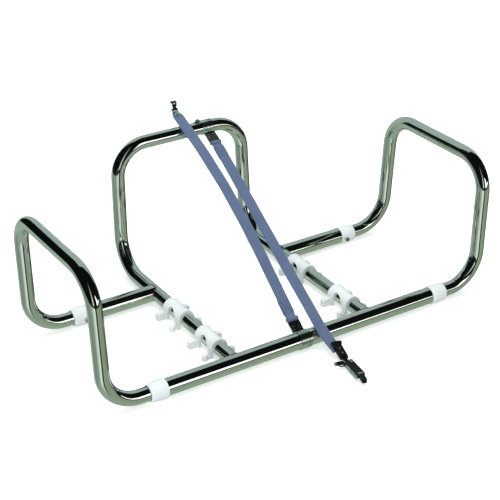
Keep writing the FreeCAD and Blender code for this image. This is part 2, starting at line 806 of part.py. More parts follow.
def rear_strap():
    """From the rear clamp's pin down over the front tube to the quick release."""
    thick = size("web_thick")
    half = size("web_width") / 2.0
    loop = size("loop_width") / 2.0
    inner = size("pin_dia") / 2.0 + size("gap")
    # a straight line from the pin that clears the front tube by the gap
    wrap = cross_radius + size("gap") + thick / 2.0
    far = math.hypot(rear_pin.y, rear_pin.z - axis_height)
    direct = math.atan2(rear_pin.z - axis_height, rear_pin.y)
    slope = direct - math.asin((wrap - thick / 2.0) / far)
    lead = inner + 0.8
    # the strap lies above the pin line, so its heading is turned end for end
    down = slope + math.pi
    normal = (math.sin(slope), -math.cos(slope))
    first = (
        rear_pin.y + lead * math.cos(down) - 0.5 * thick * normal[0],
        rear_pin.z + lead * math.sin(down) - 0.5 * thick * normal[1],
    )
    touch = (-wrap * math.sin(slope), axis_height + wrap * math.cos(slope))
    straight = math.hypot(first[0] - touch[0], first[1] - touch[1])
    # bent a little over the tube, then easing out to its lie under the adjuster
    drop = slope + math.radians(size("rear_strap_turn"))
    lie = math.radians(size("rear_strap_lie"))
    sweep = size("rear_strap_sweep")
    leave = (-wrap * math.sin(drop), axis_height + wrap * math.cos(drop))
    skew = math.radians(size("release_skew"))
    arm = pivot_reach * math.cos(skew) * math.sin(lie)
    bar_foot = size("pivot_height") + arm - pivot_rise * math.cos(lie)
    mid_z = bar_foot - 0.5 * thick * math.cos(lie)
    before = 8.0
    eased = sweep * (math.cos(lie) - math.cos(drop)) + before * math.sin(lie)
    fall = (leave[1] - eased - mid_z) / math.sin(drop)
    steps = [
        ("run", straight),
        ("turn", wrap, math.degrees(drop - slope)),
        ("run", fall),
        ("turn", sweep, -math.degrees(drop - lie)),
        ("run", before + size("web_tail")),
    ]
    x_rear = size("rear_clamp_place")
    x_front = x_rear + size("rear_strap_shift")
    corner = rear_pin.y - 12.0
    bend = sweep * (math.sin(drop) - math.sin(lie))
    mid_y = leave[0] - fall * math.cos(drop) - bend - before * math.cos(lie)
    tip = mid_y - size("web_tail")
    plan = [
        (x_rear + loop, rear_pin.y + 12.0),
        (x_rear - loop, rear_pin.y + 12.0),
        (x_rear - loop, rear_pin.y - 5.0),
        (x_rear - half, corner),
        (x_front - half, 0.0),
        (x_front - half, tip - 3.0),
        (x_front + half, tip - 3.0),
        (x_front + half, 0.0),
        (x_rear + half, corner),
        (x_rear + loop, rear_pin.y - 5.0),
    ]
    webbing("rear_strap", rear_pin, math.degrees(down), steps, plan, -1.0)
    foot_y = mid_y - 0.5 * thick * math.sin(lie)
    return V(x_front + size("bar_shift"), foot_y, bar_foot)


# ---------------------------------------------------------------- quick release
# Own frame: origin under the cross bar on the webbing's upper face, -Y leads away
# from the front tube, z is height above the webbing.
def release_frame(local=None, rotation=None):
    lie = about_x(size("rear_strap_lie"))
    frame = FreeCAD.Placement(release_place, lie.multiply(about_z(size("release_skew"))))
    if local is not None:
        frame = frame.multiply(FreeCAD.Placement(local, rotation or FreeCAD.Rotation()))
    return frame


def lever_frame(pivot, local=None):
    """Level frame at the lever's pivot."""
    frame = release_frame(pivot, about_x(-size("rear_strap_lie")))
    if local is not None:
        frame = frame.multiply(FreeCAD.Placement(local, FreeCAD.Rotation()))
    return frame


def adjuster():
    """Slide on the strap end: a cross bar, a body with an eye, two rivets."""
    bar = size("bar_dia") / 2.0
    bar_z0 = size("bar_rise")
    length = size("adjuster_length")
    pin_y = -pivot_reach
    pin_z = pivot_rise
    body = new_body("adjuster_body")
    side = sketch_on(body, "YZ_Plane")
    add_outline(side, [
        (-4.5, 0.0),
        (-length + 5.0, 0.0),
        (-length, 1.6),
        (-length, 5.4),
        (-length + 4.0, 7.0),
        (-6.0, 7.6),
    ])
    pad(body, side, "Sizes.adjuster_width", symmetric=True)
    eye = sketch_on(body, "YZ_Plane")
    add_circle(eye, 0, bar_z0, 2.0 * bar + 3.2)
    pad(body, eye, "Sizes.adjuster_width", symmetric=True)
    neck = sketch_on(body, "YZ_Plane")
    add_outline(neck, [
        (1.0, bar_z0 + 3.0),
        (-8.0, 7.4),
        (-8.0, 0.4),
        (0.0, bar_z0 - 3.4),
    ])
    pad(body, neck, "Sizes.adjuster_width", symmetric=True)
    tongue = sketch_on(body, "YZ_Plane")
    add_outline(tongue, rectangle(-length + 2.0, pin_z - 2.2, pin_y, pin_z + 1.2))
    pad(body, tongue, "Sizes.adjuster_width / 2", symmetric=True)
    knuckle = sketch_on(body, "YZ_Plane")
    add_circle(knuckle, pin_y, pin_z, size("release_pin_dia") + 3.2)
    pad(body, knuckle, "Sizes.adjuster_width / 2", symmetric=True)
    dish = sketch_on(body, "XY_Plane", lift(6.3))
    inset = size("adjuster_width") / 2.0 - 2.6
    add_outline(dish, rectangle(-inset, -length + 8.0, inset, -9.0))
    cut_through(body, dish, both=False, reverse=True, length=20.0)
    bores = sketch_on(body, "YZ_Plane")
    add_circle(bores, 0, bar_z0, "Sizes.bar_dia")
    add_circle(bores, pin_y, pin_z, "Sizes.release_pin_dia")
    cut_through(body, bores)
    body.Placement = release_frame()

    bar_body = new_body("adjuster_bar")
    rod = sketch_on(bar_body, "YZ_Plane")
    add_circle(rod, 0, bar_z0, "Sizes.bar_dia")
    pad(bar_body, rod, "Sizes.bar_length", symmetric=True)
    half = size("bar_length") / 2.0
    for hand in (-1, 1):
        cap = sketch_on(bar_body, "YZ_Plane", lift(hand * (half - 1.6)))
        add_circle(cap, 0, bar_z0, size("bar_dia") + 1.6)
        pad(bar_body, cap, 1.6, reverse=hand < 0)
    bar_body.Placement = release_frame()

    rivets = []
    for y in (-13.0, -24.0):
        rivet = Part.makeCylinder(2.0, 1.3, V(0, y, 6.3))
        rim = [e for e in rivet.Edges if abs(e.BoundBox.ZMin - 7.6) < 0.01]
        rivets.append(rivet.makeFillet(0.9, rim))
    feature = add_shape("adjuster_rivets", Part.makeCompound(rivets))
    feature.Placement = release_frame()
    return V(0, pin_y, pin_z)


def release_pin(pivot):
    """Pivot pin: through the lever's cheeks and on to the ring, headed at both ends."""
    body = new_body("release_pin")
    half = size("lever_width") / 2.0
    far = half + size("gap") + size("ring_width") + size("ring_wire") + 0.5
    rod = sketch_on(body, "YZ_Plane", lift(-far))
    add_circle(rod, 0, 0, "Sizes.release_pin_dia")
    pad(body, rod, far + half + size("gap"))
    right = sketch_on(body, "YZ_Plane", lift(half + size("gap")))
    add_circle(right, 0, 0, size("release_pin_dia") + 3.0)
    pad(body, right, 2.0)
    left = sketch_on(body, "YZ_Plane", lift(-far - 1.6))
    add_circle(left, 0, 0, size("release_pin_dia") + 2.4)
    pad(body, left, 1.6)
    body.Placement = release_frame(pivot)


def release_lever(pivot):
    """Over-centre lever: a steel channel, a black cover, a rivet, a catch and a grip."""
    half = size("lever_width") / 2.0
    wall = size("lever_wall")
    height = size("lever_height")
    length = size("lever_length")
    low = -0.5 * height
    high = low + height
    body = new_body("release_lever")
    side = sketch_on(body, "YZ_Plane")
    add_outline(side, [
        (-2.0, high),
        ("arc", 3.6, 0.0),
        (-2.0, low),
        (-length + 2.0, low),
        (-length, low + 2.0),
        (-length, high),
    ])
    pad(body, side, "Sizes.lever_width", symmetric=True)
    channel = sketch_on(body, "YZ_Plane")
    add_outline(channel, [
        (12.0, high + 6.0),
        (-6.5, high + 6.0),
        (-6.5, high - wall),
        (-length + wall, high - wall),
        (-length + wall, low - 6.0),
        (12.0, low - 6.0),
    ])
    cut_through(body, channel, length=2.0 * (half - wall))
    bore = sketch_on(body, "YZ_Plane")
    add_circle(bore, 0, 0, size("release_pin_dia") + 2.0 * size("slide_gap"))
    cut_through(body, bore)
    body.Placement = lever_frame(pivot)

    cover = new_body("lever_cover")
    top = sketch_on(cover, "XY_Plane", lift(high))
    add_outline(top, [
        (half - 1.5, -6.5),
        (half, -8.0),
        (half, -length + 1.5),
        (half - 1.5, -length),
        (-half + 1.5, -length),
        (-half, -length + 1.5),
        (-half, -8.0),
        (-half + 1.5, -6.5),
    ])
    pad(cover, top, 1.8)
    cover.Placement = lever_frame(pivot)

    rivet = Part.makeCylinder(2.4, 1.2, V(2.5, -11.0, high + 1.8))
    rim = [e for e in rivet.Edges if abs(e.BoundBox.ZMin - high - 3.0) < 0.01]
    feature = add_shape("lever_rivet", rivet.makeFillet(0.8, rim))
    feature.Placement = lever_frame(pivot)

    catch = new_body("lever_catch")
    strip = sketch_on(catch, "XY_Plane", lift(high + 1.8))
    add_outline(strip, rectangle(-5.0, -length + 1.0, 5.0, -length + 4.0))
    pad(catch, strip, 0.9)
    catch.Placement = lever_frame(pivot)

    grip = new_body("lever_grip")
    left = size("grip_shift") - size("grip_width") / 2.0
    right = size("grip_shift") + size("grip_width") / 2.0
    tip = -size("grip_length")
    handle = sketch_on(grip, "XY_Plane", lift(low + 0.6))
    add_outline(handle, [
        (right, 0.0),
        (left, 0.0),
        (left - 1.0, -4.0),
        (left - 2.0, tip + 3.0),
        ("arc", left - 1.3, tip + 0.7),
        (left + 0.6, tip),
        (right - 4.2, tip),
        ("arc", right - 2.4, tip + 0.7),
        (right - 1.9, tip + 3.0),
        (right - 1.0, -4.0),
    ])
    pad(grip, handle, height - 1.2)
    grip.Placement = lever_frame(pivot, V(0, -length, 0))


def release_ring(pivot):
    """Wire ring on the pin's long end, hanging by its sleeve beside the lever."""
    wire = size("ring_wire")
    near = -(size("lever_width") / 2.0 + size("gap") + 0.4)
    far = near - size("ring_width") - wire + 1.0
    reach_out = size("ring_reach")
    x0 = far + wire / 2.0
    x1 = near - wire / 2.0
    corners = [V(x0, 0, 0), V(x0, -reach_out, 0), V(x1, -reach_out, 0), V(x1, 0, 0)]
    loop = swept(tube_wire(corners, [3.0, 3.0]), wire / 2.0, corners[0], V(0, -1, 0))
    sleeve_radius = size("release_pin_dia") / 2.0 + 1.5
    bore_radius = size("release_pin_dia") / 2.0 + size("slide_gap")
    sleeve = Part.makeCylinder(sleeve_radius, near - far, V(far, 0, 0), V(1, 0, 0))
    bore = Part.makeCylinder(bore_radius, near - far, V(far, 0, 0), V(1, 0, 0))
    feature = add_shape("release_ring", sleeve.fuse(loop).cut(bore))
    feature.Placement = release_frame(pivot, about_x(-size("rear_strap_lie") - size("ring_rise")))


# ---------------------------------------------------------------- strap hook
# Own frame: origin at the strap's end on its centre, +Y leads out along it.
def hook_frame(local=None):
    in_plane = math.atan(math.tan(math.radians(hook_skew)) * math.cos(math.radians(hook_slope)))
    turn = about_x(hook_slope).multiply(about_z(-math.degrees(in_plane)))
    frame = FreeCAD.Placement(hook_place, turn)
    if local is not None:
        frame = frame.multiply(FreeCAD.Placement(local, FreeCAD.Rotation()))
    return frame


def strap_hook():
    """Riveted end plate with a split knuckle, its pin and a two-pronged hook."""
    low = size("web_thick") / 2.0
    thick = size("plate_thick")
    half = size("plate_width") / 2.0
    pin = size("hook_pin_dia")
    out = 4.4
    pin_z = low + 0.5 * pin + 1.2
    plate = new_body("hook_plate")
    flat = sketch_on(plate, "XY_Plane", lift(low))
    inner = out - size("plate_length")
    add_outline(flat, [
        (half - 1.5, inner),
        (half, inner + 1.5),
        (half, out),
        (-half, out),
        (-half, inner + 1.5),
        (-half + 1.5, inner),
    ])
    pad(plate, flat, thick)
    knuckle = sketch_on(plate, "YZ_Plane")
    add_circle(knuckle, out, pin_z, pin + 2.4)
    pad(plate, knuckle, "Sizes.plate_width", symmetric=True)
    room = sketch_on(plate, "XY_Plane")
    tongue = half - 2.6
    add_outline(room, rectangle(-tongue - size("gap"), out - 3.4, tongue + size("gap"), out + 12.0))
    cut_through(plate, room)
    bore = sketch_on(plate, "YZ_Plane")
    add_circle(bore, out, pin_z, "Sizes.hook_pin_dia")
    cut_through(plate, bore)
    hole = sketch_on(plate, "XY_Plane")
    add_circle(hole, 0, inner + 5.0, 3.0)
    cut_through(plate, hole)
    plate.Placement = hook_frame()

    rivet = Part.makeCylinder(1.5, thick, V(0, inner + 5.0, low))
    cap = Part.makeCylinder(2.9, 1.5, V(0, inner + 5.0, low + thick))
    rim = [e for e in cap.Edges if abs(e.BoundBox.ZMin - low - thick - 1.5) < 0.01]
    rivet = rivet.fuse(cap.makeFillet(1.1, rim)).removeSplitter()
    feature = add_shape("hook_rivet", rivet)
    feature.Placement = hook_frame()

    rod = new_body("hook_pin")
    ring = sketch_on(rod, "YZ_Plane")
    add_circle(ring, 0, 0, "Sizes.hook_pin_dia")
    pad(rod, ring, "Sizes.plate_width + 1.2", symmetric=True)
    rod.Placement = hook_frame(V(0, out, pin_z))

    hook = new_body("strap_hook")
    eye = sketch_on(hook, "YZ_Plane")
    add_circle(eye, 0, 0, pin + 2.4)
    pad(hook, eye, 2.0 * tongue, symmetric=True)
    stem = sketch_on(hook, "YZ_Plane")
    add_outline(stem, [
        (-0.9, 0.8),
        (1.6, 0.2),
        (4.2, 5.6),
        (4.6, 7.2),
        (2.2, 7.6),
    ])
    pad(hook, stem, 2.0 * tongue, symmetric=True)
    beak = sketch_on(hook, "YZ_Plane")
    add_outline(beak, [
        (1.6, 6.4),
        (4.2, 5.6),
        (5.6, 9.6),
        ("arc", 8.0, 11.2),
        (10.2, 9.4),
        (10.4, 6.6),
        (12.4, 6.6),
        (12.4, 9.8),
        ("arc", 8.6, 13.6),
        (3.8, 11.4),
    ])
    pad(hook, beak, "Sizes.hook_width", symmetric=True)
    split = sketch_on(hook, "XY_Plane", lift(8.6))
    add_outline(split, rectangle(-1.4, 3.0, 1.4, 16.0))
    cut_through(hook, split, both=False, reverse=True, length=20.0)
    nose = sketch_on(hook, "XY_Plane")
    add_outline(nose, rectangle(-1.4, 8.6, 1.4, 16.0))
    cut_through(hook, nose)
    bored = sketch_on(hook, "YZ_Plane")
    add_circle(bored, 0, 0, pin + 2.0 * size("slide_gap"))
    cut_through(hook, bored)
    hook.Placement = hook_frame(V(0, out, pin_z))


# ---------------------------------------------------------------- build
front_tube()
rear_stub("rear_stub_left", -1)
rear_stub("rear_stub_right", 1)
back_hoop()
side_hoop("left_hoop", -1)
side_hoop("right_hoop", 1)
stub_line = size("stub_line")
bush("bush_front_left", -1, 0.0, -48.0, False)
bush("bush_front_right", 1, 0.0, 228.0, False)
bush("bush_rear_left", -1, stub_line, -8.0, True)
bush("bush_rear_right", 1, stub_line, 188.0, True)
lock_screws("lock_screws_front", 0.0, ((-1, 228.0), (1, 228.0)), False)
lock_screws("lock_screws_rear", stub_line, ((-1, 188.0), (1, 188.0)), True)
saddle("saddle_left_front", -1, size("left_front_saddle"))
saddle("saddle_left_rear", -1, size("left_rear_saddle"))
saddle("saddle_right_front", 1, size("right_front_saddle"))
saddle("saddle_right_rear", 1, size("right_rear_saddle"))
clamp("clamp_front", front_centre, cross_radius, front_slope, 1, front_ear)
clamp("clamp_rear", rear_centre, rail_radius, rear_slope, -1, rear_ear)
clamp_screws("clamp_screws", (
    (front_centre, cross_radius, front_slope, 1, front_ear),
    (rear_centre, rail_radius, rear_slope, -1, rear_ear),
))
clamp_rivets("clamp_rivets", ((front_centre, front_slope), (rear_centre, rear_slope)))
strap_pin("strap_pin_front", front_centre, front_slope)
strap_pin("strap_pin_rear", rear_centre, rear_slope)
hook_place, hook_slope, hook_skew = front_strap()
release_place = rear_strap()
release_pivot = adjuster()
release_pin(release_pivot)
release_lever(release_pivot)
release_ring(release_pivot)
strap_hook()

doc.recompute()

# the origin goes to the middle of the footprint, on the deck
front_end = min(piece.Shape.optimalBoundingBox(False, False).YMin for piece in pieces)
rear_end = max(piece.Shape.optimalBoundingBox(False, False).YMax for piece in pieces)
origin_shift = V(0, -(front_end + rear_end) / 2.0, 0)
for piece in pieces:
    moved = FreeCAD.Placement(origin_shift, FreeCAD.Rotation()).multiply(piece.Placement)
    piece.Placement = moved
doc.recompute()

for item in doc.Objects:
    if "Invalid" in item.State or "Error" in item.State:
        raise RuntimeError("%s failed: %s" % (item.Name, item.State))
os.makedirs("parts", exist_ok=True)
pivot = release_frame().multVec(release_pivot)
knuckle_z = size("web_thick") / 2.0 + 0.5 * size("hook_pin_dia") + 1.2
knuckle = hook_frame().multVec(V(0, 4.4, knuckle_z))
hook_axis = hook_frame().Rotation.multVec(V(1, 0, 0))
release_axis = release_frame().Rotation.multVec(V(1, 0, 0))
points = {
    "front pin": front_pin + origin_shift,
    "rear pin": rear_pin + origin_shift,
    "release": pivot + origin_shift,
    "hook": knuckle + origin_shift,
    "hook axis": hook_axis,
    "release axis": release_axis,
    "shift": origin_shift,
}
for name, point in points.items():
    print("%-12s %.5f %.5f %.5f" % (name, point.x, point.y, point.z))
for piece in pieces:
    shape = piece.Shape
    if shape.isNull() or not shape.isValid() or not shape.Solids:
        raise RuntimeError("%s has no sound solid" % piece.Label)
    shape.exportStep("parts/%s.step" % piece.Label)
    print("%-22s solids %d volume %.0f" % (piece.Label, len(shape.Solids), shape.Volume))
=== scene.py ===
import json
import math

import bmesh
import bpy
from mathutils import Matrix, Vector

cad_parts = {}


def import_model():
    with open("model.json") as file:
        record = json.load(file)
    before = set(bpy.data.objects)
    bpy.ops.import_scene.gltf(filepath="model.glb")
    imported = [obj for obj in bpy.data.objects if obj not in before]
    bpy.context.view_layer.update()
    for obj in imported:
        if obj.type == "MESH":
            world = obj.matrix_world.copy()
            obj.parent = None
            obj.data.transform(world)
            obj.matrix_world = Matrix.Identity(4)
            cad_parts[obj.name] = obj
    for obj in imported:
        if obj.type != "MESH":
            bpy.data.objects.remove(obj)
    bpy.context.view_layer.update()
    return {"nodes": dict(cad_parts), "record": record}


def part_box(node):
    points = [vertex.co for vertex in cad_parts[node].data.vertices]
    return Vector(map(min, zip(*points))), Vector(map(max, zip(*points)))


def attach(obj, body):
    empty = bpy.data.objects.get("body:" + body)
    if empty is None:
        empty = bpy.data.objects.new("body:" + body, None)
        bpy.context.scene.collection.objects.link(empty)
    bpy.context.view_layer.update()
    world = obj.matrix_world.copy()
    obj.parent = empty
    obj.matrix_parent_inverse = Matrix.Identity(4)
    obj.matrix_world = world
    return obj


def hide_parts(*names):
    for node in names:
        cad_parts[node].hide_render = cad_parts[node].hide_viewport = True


# Looks for an adjustable canister cradle: polished tubes with weld beads, nylon
# bushes and saddles, woven lashings with their stitching, and their fittings.
# Metres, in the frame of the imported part: X along the front tube, Y towards the
# back hoop, Z up from the deck. The lashings' own sizes are in mm.

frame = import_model()
MM = 0.001


# ---------------------------------------------------------------- node helpers
def new_material(name):
    material = bpy.data.materials.new(name)
    material.use_nodes = True
    nodes = material.node_tree.nodes
    return material, nodes, material.node_tree.links, nodes["Principled BSDF"]


def noise(nodes, links, source, scale, detail=4.0, roughness=0.55, stretch=None):
    """Noise read in the source coordinates, with its pattern stretched if asked."""
    texture = nodes.new("ShaderNodeTexNoise")
    texture.inputs["Scale"].default_value = scale
    texture.inputs["Detail"].default_value = detail
    texture.inputs["Roughness"].default_value = roughness
    if stretch is not None:
        mapping = nodes.new("ShaderNodeMapping")
        mapping.inputs["Scale"].default_value = stretch
        links.new(source, mapping.inputs["Vector"])
        source = mapping.outputs["Vector"]
    links.new(source, texture.inputs["Vector"])
    return texture.outputs["Fac"]


def remap(nodes, links, value, low, high, out_low, out_high):
    node = nodes.new("ShaderNodeMapRange")
    node.inputs["From Min"].default_value = low
    node.inputs["From Max"].default_value = high
    node.inputs["To Min"].default_value = out_low
    node.inputs["To Max"].default_value = out_high
    links.new(value, node.inputs["Value"])
    return node.outputs["Result"]


def math_node(nodes, links, operation, first, second=None):
    node = nodes.new("ShaderNodeMath")
    node.operation = operation
    for socket, value in zip(node.inputs, (first, second)):
        if value is None:
            continue
        if isinstance(value, (int, float)):
            socket.default_value = value
        else:
            links.new(value, socket)
    return node.outputs["Value"]


def blend_colours(nodes, links, share, first, second):
    """Mix of two colours; each is a colour or a socket."""
    node = nodes.new("ShaderNodeMix")
    node.data_type = "RGBA"
    links.new(share, node.inputs["Factor"])
    for name, value in (("A", first), ("B", second)):
        socket = [s for s in node.inputs if s.name == name and s.type == "RGBA"][0]
        if isinstance(value, tuple):
            socket.default_value = value + (1.0,)
        else:
            links.new(value, socket)
    return [s for s in node.outputs if s.type == "RGBA"][0]


def bump(nodes, links, height, distance, strength=1.0, normal=None):
    node = nodes.new("ShaderNodeBump")
    node.inputs["Distance"].default_value = distance
    node.inputs["Strength"].default_value = strength
    links.new(height, node.inputs["Height"])
    if normal is not None:
        links.new(normal, node.inputs["Normal"])
    return node.outputs["Normal"]


def rounded_edges(nodes, radius):
    node = nodes.new("ShaderNodeBevel")
    node.samples = 6
    node.inputs["Radius"].default_value = radius
    return node.outputs["Normal"]


def edge_share(nodes, links, radius, low, high):
    """Near 1 on sharp edges and 0 on flats."""
    soft = rounded_edges(nodes, radius)
    geometry = nodes.new("ShaderNodeNewGeometry")
    product = nodes.new("ShaderNodeVectorMath")
    product.operation = "DOT_PRODUCT"
    links.new(soft, product.inputs[0])
    links.new(geometry.outputs["Normal"], product.inputs[1])
    return remap(nodes, links, product.outputs["Value"], low, high, 1.0, 0.0)


def object_coordinates(nodes):
    return nodes.new("ShaderNodeTexCoord").outputs["Object"]


# ---------------------------------------------------------------- materials
def polished_steel():
    """Mirror-polished stainless: faint smears, fine polishing lines."""
    material, nodes, links, shader = new_material("polished_steel")
    place = object_coordinates(nodes)
    smear = noise(nodes, links, place, 14.0, 5.0)
    fine = noise(nodes, links, place, 900.0, 3.0, 0.7)
    tint = remap(nodes, links, smear, 0.3, 0.7, 0.0, 1.0)
    colour = blend_colours(nodes, links, tint, (0.66, 0.69, 0.63), (0.73, 0.75, 0.71))
    links.new(colour, shader.inputs["Base Color"])
    links.new(remap(nodes, links, smear, 0.3, 0.75, 0.035, 0.10), shader.inputs["Roughness"])
    links.new(bump(nodes, links, fine, 0.00001, 0.25), shader.inputs["Normal"])
    shader.inputs["Metallic"].default_value = 1.0
    return material


def fitting_steel():
    """Dull stamped stainless of the clamps and small fittings, with dark stains."""
    material, nodes, links, shader = new_material("fitting_steel")
    place = object_coordinates(nodes)
    stain = noise(nodes, links, place, 130.0, 6.0, 0.6)
    scratch = noise(nodes, links, place, 900.0, 3.0, 0.6, (1.0, 0.12, 1.0))
    share = remap(nodes, links, stain, 0.42, 0.66, 0.0, 1.0)
    colour = blend_colours(nodes, links, share, (0.62, 0.70, 0.65), (0.26, 0.30, 0.28))
    worn = edge_share(nodes, links, 0.0004, 0.90, 0.995)
    colour = blend_colours(nodes, links, worn, colour, (0.62, 0.64, 0.61))
    links.new(colour, shader.inputs["Base Color"])
    links.new(remap(nodes, links, stain, 0.3, 0.7, 0.12, 0.30), shader.inputs["Roughness"])
    soft = rounded_edges(nodes, 0.0003)
    links.new(bump(nodes, links, scratch, 0.00003, 0.5, soft), shader.inputs["Normal"])
    shader.inputs["Metallic"].default_value = 1.0
    return material


def weld_steel():
    """Weld bead: rippled, a little heat-tinted along its edges."""
    material, nodes, links, shader = new_material("weld_steel")
    place = object_coordinates(nodes)
    heat = noise(nodes, links, place, 220.0, 4.0)
    share = remap(nodes, links, heat, 0.4, 0.62, 0.0, 1.0)
    colour = blend_colours(nodes, links, share, (0.62, 0.62, 0.58), (0.40, 0.35, 0.27))
    links.new(colour, shader.inputs["Base Color"])
    links.new(remap(nodes, links, heat, 0.3, 0.7, 0.20, 0.36), shader.inputs["Roughness"])
    links.new(bump(nodes, links, heat, 0.00008, 0.6), shader.inputs["Normal"])
    shader.inputs["Metallic"].default_value = 1.0
    return material


def white_nylon():
    """Moulded white nylon: a waxy surface with faint scuffs, light passing just inside."""
    material, nodes, links, shader = new_material("white_nylon")
    place = object_coordinates(nodes)
    cloud = noise(nodes, links, place, 60.0, 4.0)
    peel = noise(nodes, links, place, 1400.0, 2.0, 0.5)
    scuff = noise(nodes, links, place, 260.0, 5.0, 0.7, (1.0, 0.3, 1.0))
    tint = remap(nodes, links, cloud, 0.3, 0.7, 0.0, 1.0)
    colour = blend_colours(nodes, links, tint, (0.68, 0.735, 0.735), (0.74, 0.785, 0.785))
    grime = remap(nodes, links, scuff, 0.62, 0.78, 0.0, 0.35)
    colour = blend_colours(nodes, links, grime, colour, (0.46, 0.50, 0.50))
    links.new(colour, shader.inputs["Base Color"])
    links.new(remap(nodes, links, cloud, 0.3, 0.7, 0.30, 0.44), shader.inputs["Roughness"])
    soft = rounded_edges(nodes, 0.0006)
    links.new(bump(nodes, links, peel, 0.00003, 0.4, soft), shader.inputs["Normal"])
    shader.inputs["Subsurface Weight"].default_value = 0.18
    shader.inputs["Subsurface Radius"].default_value = (0.0025, 0.0028, 0.003)
    shader.inputs["Subsurface Scale"].default_value = 1.0
    return material


def black_plastic():
    """Moulded black plastic with a fine grain and paler handled edges."""
    material, nodes, links, shader = new_material("black_plastic")
    place = object_coordinates(nodes)
    cloud = noise(nodes, links, place, 160.0, 4.0)
    grain = noise(nodes, links, place, 2600.0, 2.0, 0.6)
    worn = edge_share(nodes, links, 0.0006, 0.90, 0.995)
    handled = remap(nodes, links, cloud, 0.35, 0.65, 0.2, 0.9)
    worn = math_node(nodes, links, "MULTIPLY", worn, handled)
    colour = blend_colours(nodes, links, worn, (0.004, 0.004, 0.005), (0.045, 0.047, 0.05))
    links.new(colour, shader.inputs["Base Color"])
    links.new(remap(nodes, links, cloud, 0.3, 0.7, 0.28, 0.44), shader.inputs["Roughness"])
    soft = rounded_edges(nodes, 0.0005)
    links.new(bump(nodes, links, grain, 0.00004, 0.35, soft), shader.inputs["Normal"])
    shader.inputs["Specular IOR Level"].default_value = 0.14
    return material


def black_metal():
    """Black coated steel, bright where its edges have rubbed."""
    material, nodes, links, shader = new_material("black_metal")
    place = object_coordinates(nodes)
    patch = noise(nodes, links, place, 420.0, 5.0, 0.65)
    worn = edge_share(nodes, links, 0.0004, 0.88, 0.99)
    rubbed = remap(nodes, links, patch, 0.46, 0.60, 0.0, 1.0)
    worn = math_node(nodes, links, "MULTIPLY", worn, rubbed)
    colour = blend_colours(nodes, links, worn, (0.004, 0.004, 0.005), (0.42, 0.44, 0.41))
    links.new(colour, shader.inputs["Base Color"])
    links.new(worn, shader.inputs["Metallic"])
    links.new(remap(nodes, links, patch, 0.3, 0.7, 0.22, 0.40), shader.inputs["Roughness"])
    links.new(rounded_edges(nodes, 0.0003), shader.inputs["Normal"])
    shader.inputs["Specular IOR Level"].default_value = 0.18
    return material


def webbing_fabric():
    """Slate-blue woven webbing; its coordinates are millimetres across and along."""
    material, nodes, links, shader = new_material("webbing_fabric")
    uv = nodes.new("ShaderNodeUVMap")
    uv.uv_map = "strap"
    split = nodes.new("ShaderNodeSeparateXYZ")
    links.new(uv.outputs["UV"], split.inputs["Vector"])
    across, along = split.outputs["X"], split.outputs["Y"]
    cord, pick = 1.25, 1.7
    # warp cords run along the strap, each half a pick further on than the last
    warp = math_node(nodes, links, "MULTIPLY", across, math.pi / cord)
    warp = math_node(nodes, links, "ABSOLUTE", math_node(nodes, links, "SINE", warp))
    step = math_node(nodes, links, "FLOOR", math_node(nodes, links, "DIVIDE", across, cord))
    shift = math_node(nodes, links, "MULTIPLY", step, 0.5 * pick)
    moved = math_node(nodes, links, "ADD", along, shift)
    weft = math_node(nodes, links, "MULTIPLY", moved, math.pi / pick)
    weft = math_node(nodes, links, "ABSOLUTE", math_node(nodes, links, "SINE", weft))
    weft = math_node(nodes, links, "ADD", weft, 0.25)
    height = math_node(nodes, links, "MULTIPLY", warp, weft)
    yarn = noise(nodes, links, uv.outputs["UV"], 1.4, 4.0, 0.6, (2.2, 0.35, 1.0))
    fibre = noise(nodes, links, uv.outputs["UV"], 7.0, 2.0, 0.6, (1.6, 0.5, 1.0))
    fade = noise(nodes, links, uv.outputs["UV"], 0.035, 3.0, 0.5)
    # painted shade: the hollows between the cords are coloured darker and the crowns lighter,
    # following the weave's height
    painted_shade_by_weave = remap(nodes, links, height, 0.05, 0.85, 0.0, 1.0)
    colour = blend_colours(nodes, links, painted_shade_by_weave, (0.036, 0.058, 0.118), (0.094, 0.144, 0.265))
    lighter = remap(nodes, links, yarn, 0.35, 0.70, 0.0, 0.55)
    colour = blend_colours(nodes, links, lighter, colour, (0.128, 0.189, 0.320))
    faded = remap(nodes, links, fade, 0.40, 0.70, 0.0, 0.35)
    colour = blend_colours(nodes, links, faded, colour, (0.119, 0.166, 0.261))
    links.new(colour, shader.inputs["Base Color"])
    links.new(remap(nodes, links, fibre, 0.3, 0.7, 0.50, 0.72), shader.inputs["Roughness"])
    fuzz = math_node(nodes, links, "MULTIPLY", fibre, 0.25)
    height = math_node(nodes, links, "ADD", height, fuzz)
    links.new(bump(nodes, links, height, 0.00028, 0.9), shader.inputs["Normal"])
    shader.inputs["Sheen Weight"].default_value = 0.35
    shader.inputs["Sheen Roughness"].default_value = 0.45
    shader.inputs["Sheen Tint"].default_value = (0.62, 0.68, 0.85, 1.0)
    return material


def thread():
    """Sewing thread, a shade darker than the webbing, with its twist."""
    material, nodes, links, shader = new_material("thread")
    place = object_coordinates(nodes)
    twist = noise(nodes, links, place, 2200.0, 3.0)
    share = remap(nodes, links, twist, 0.35, 0.65, 0.0, 1.0)
    colour = blend_colours(nodes, links, share, (0.026, 0.040, 0.085), (0.066, 0.098, 0.178))
    links.new(colour, shader.inputs["Base Color"])
    links.new(bump(nodes, links, twist, 0.00008, 0.8), shader.inputs["Normal"])
    shader.inputs["Roughness"].default_value = 0.55
    return material


MATERIALS = {
    "polished_steel": polished_steel(),
    "fitting_steel": fitting_steel(),
    "white_nylon": white_nylon(),
    "black_plastic": black_plastic(),
    "black_metal": black_metal(),
    "webbing": webbing_fabric(),
}
WELD = weld_steel()
THREAD = thread()


